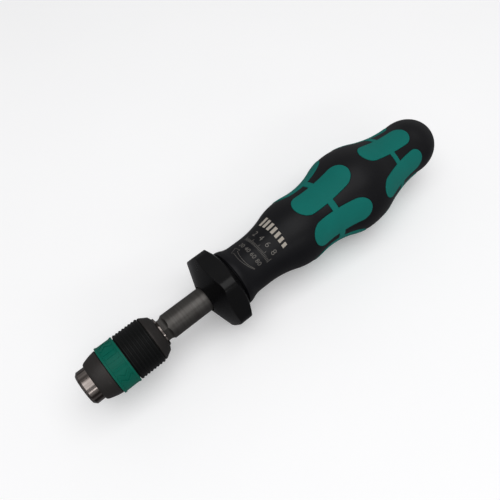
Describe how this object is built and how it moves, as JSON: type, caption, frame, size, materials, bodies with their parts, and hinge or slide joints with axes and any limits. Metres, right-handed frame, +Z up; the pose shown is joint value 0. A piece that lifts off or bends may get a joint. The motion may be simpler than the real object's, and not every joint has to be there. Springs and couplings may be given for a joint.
{
  "type": "torque screwdriver",
  "caption": "Preset torque screwdriver with a quick-change hexagonal bit chuck, a slipping clutch and a soft-grip handle.",
  "frame": {"origin": "on the tool axis at the mouth of the bit socket", "axes": "+X along the tool axis from the bit socket to the end of the handle, +Z up, away from the guard flat that the tool rests on"},
  "size_m": [0.1551, 0.0312, 0.0312],
  "materials": {
    "nose_steel": "bright satin steel with fine lengthwise lines",
    "sleeve_metal": "dark gunmetal coating, satin",
    "shaft_metal": "dark gunmetal coating on a turned shaft",
    "ring_green": "moulded plastic, semi-gloss",
    "grip_black": "ribbed moulded plastic, satin",
    "guard_black": "moulded plastic, glossy",
    "handle_black": "moulded plastic, fine satin grain",
    "inlay_teal": "soft thermoplastic rubber, matt",
    "inner_steel": "turned steel",
    "spring_steel": "drawn spring wire",
    "bearing_bronze": "sintered bronze",
    "magnet_nickel": "nickel plated",
    "plug_black": "moulded plastic, fine satin grain"
  },
  "bodies": {
    "handle": {"handle_core": "handle_black", "front_inlay": "inlay_teal", "rear_inlay": "inlay_teal", "roll_off_guard": "guard_black", "inner_tube": "inner_steel", "front_bush": "bearing_bronze", "thrust_washer": "inner_steel", "rear_bearing": "bearing_bronze", "main_spring": "spring_steel"},
    "output": {"output_shaft": "shaft_metal", "chuck_body": "nose_steel", "sleeve_retaining_ring": "nose_steel", "clutch_detent_disc": "inner_steel", "clutch_cross_pin": "inner_steel", "sleeve_return_spring": "spring_steel", "ejector_spring": "spring_steel"},
    "sleeve_carrier": {"sleeve_spring_washer": "inner_steel"},
    "sleeve": {"sleeve_core": "sleeve_metal", "sleeve_color_ring": "ring_green", "sleeve_grip": "grip_black", "sleeve_cap": "sleeve_metal"},
    "upper_ball": {"lock_ball_top": "nose_steel"},
    "lower_ball": {"lock_ball_bottom": "nose_steel"},
    "ejector": {"ejector_plunger": "inner_steel", "bit_magnet": "magnet_nickel"},
    "clutch_drive": {"clutch_drive_disc": "inner_steel", "clutch_rollers": "inner_steel"},
    "setting_nut": {"adjusting_nut": "inner_steel"},
    "setting_screw": {"adjusting_screw": "inner_steel"},
    "end_plug": {"rear_plug": "plug_black"}
  },
  "joints": [
    {"name": "output_spin", "type": "hinge", "parent": "handle", "child": "output", "pos_m": [0, 0, 0], "axis": [1, 0, 0], "continuous": true},
    {"name": "clutch_lift", "type": "slide", "parent": "handle", "child": "clutch_drive", "axis": [1, 0, 0], "range_m": [0, 0.00055], "stiffness_N_per_m": 12000, "deforming": ["main_spring"]},
    {"name": "sleeve_slide", "type": "slide", "parent": "output", "child": "sleeve_carrier", "axis": [-1, 0, 0], "range_m": [0, 0.003], "stiffness_N_per_m": 1200, "deforming": ["sleeve_return_spring"]},
    {"name": "sleeve_spin", "type": "hinge", "parent": "sleeve_carrier", "child": "sleeve", "pos_m": [0, 0, 0], "axis": [1, 0, 0], "continuous": true},
    {"name": "upper_ball_slide", "type": "slide", "parent": "output", "child": "upper_ball", "axis": [0, 0, 1], "range_m": [0, 0.0008]},
    {"name": "lower_ball_slide", "type": "slide", "parent": "output", "child": "lower_ball", "axis": [0, 0, -1], "range_m": [0, 0.0008]},
    {"name": "ejector_slide", "type": "slide", "parent": "output", "child": "ejector", "axis": [1, 0, 0], "range_m": [0, 0.003], "stiffness_N_per_m": 600, "deforming": ["ejector_spring"]},
    {"name": "setting_turn", "type": "hinge", "parent": "handle", "child": "setting_screw", "pos_m": [0.115, 0, 0], "axis": [-1, 0, 0], "range_deg": [0, 1800]},
    {"name": "setting_nut_slide", "type": "slide", "parent": "handle", "child": "setting_nut", "axis": [-1, 0, 0], "range_m": [0, 0.005], "deforming": ["main_spring"]},
    {"name": "end_plug_slide", "type": "slide", "parent": "handle", "child": "end_plug", "axis": [1, 0, 0], "range_m": [0, 0.011]}
  ],
  "couplings": [
    {"joint": "upper_ball_slide", "follows": "sleeve_slide", "ratio": 0.2666},
    {"joint": "lower_ball_slide", "follows": "sleeve_slide", "ratio": 0.2666},
    {"joint": "setting_turn", "follows": "setting_nut_slide", "rad_per_m": 6283.2}
  ]
}
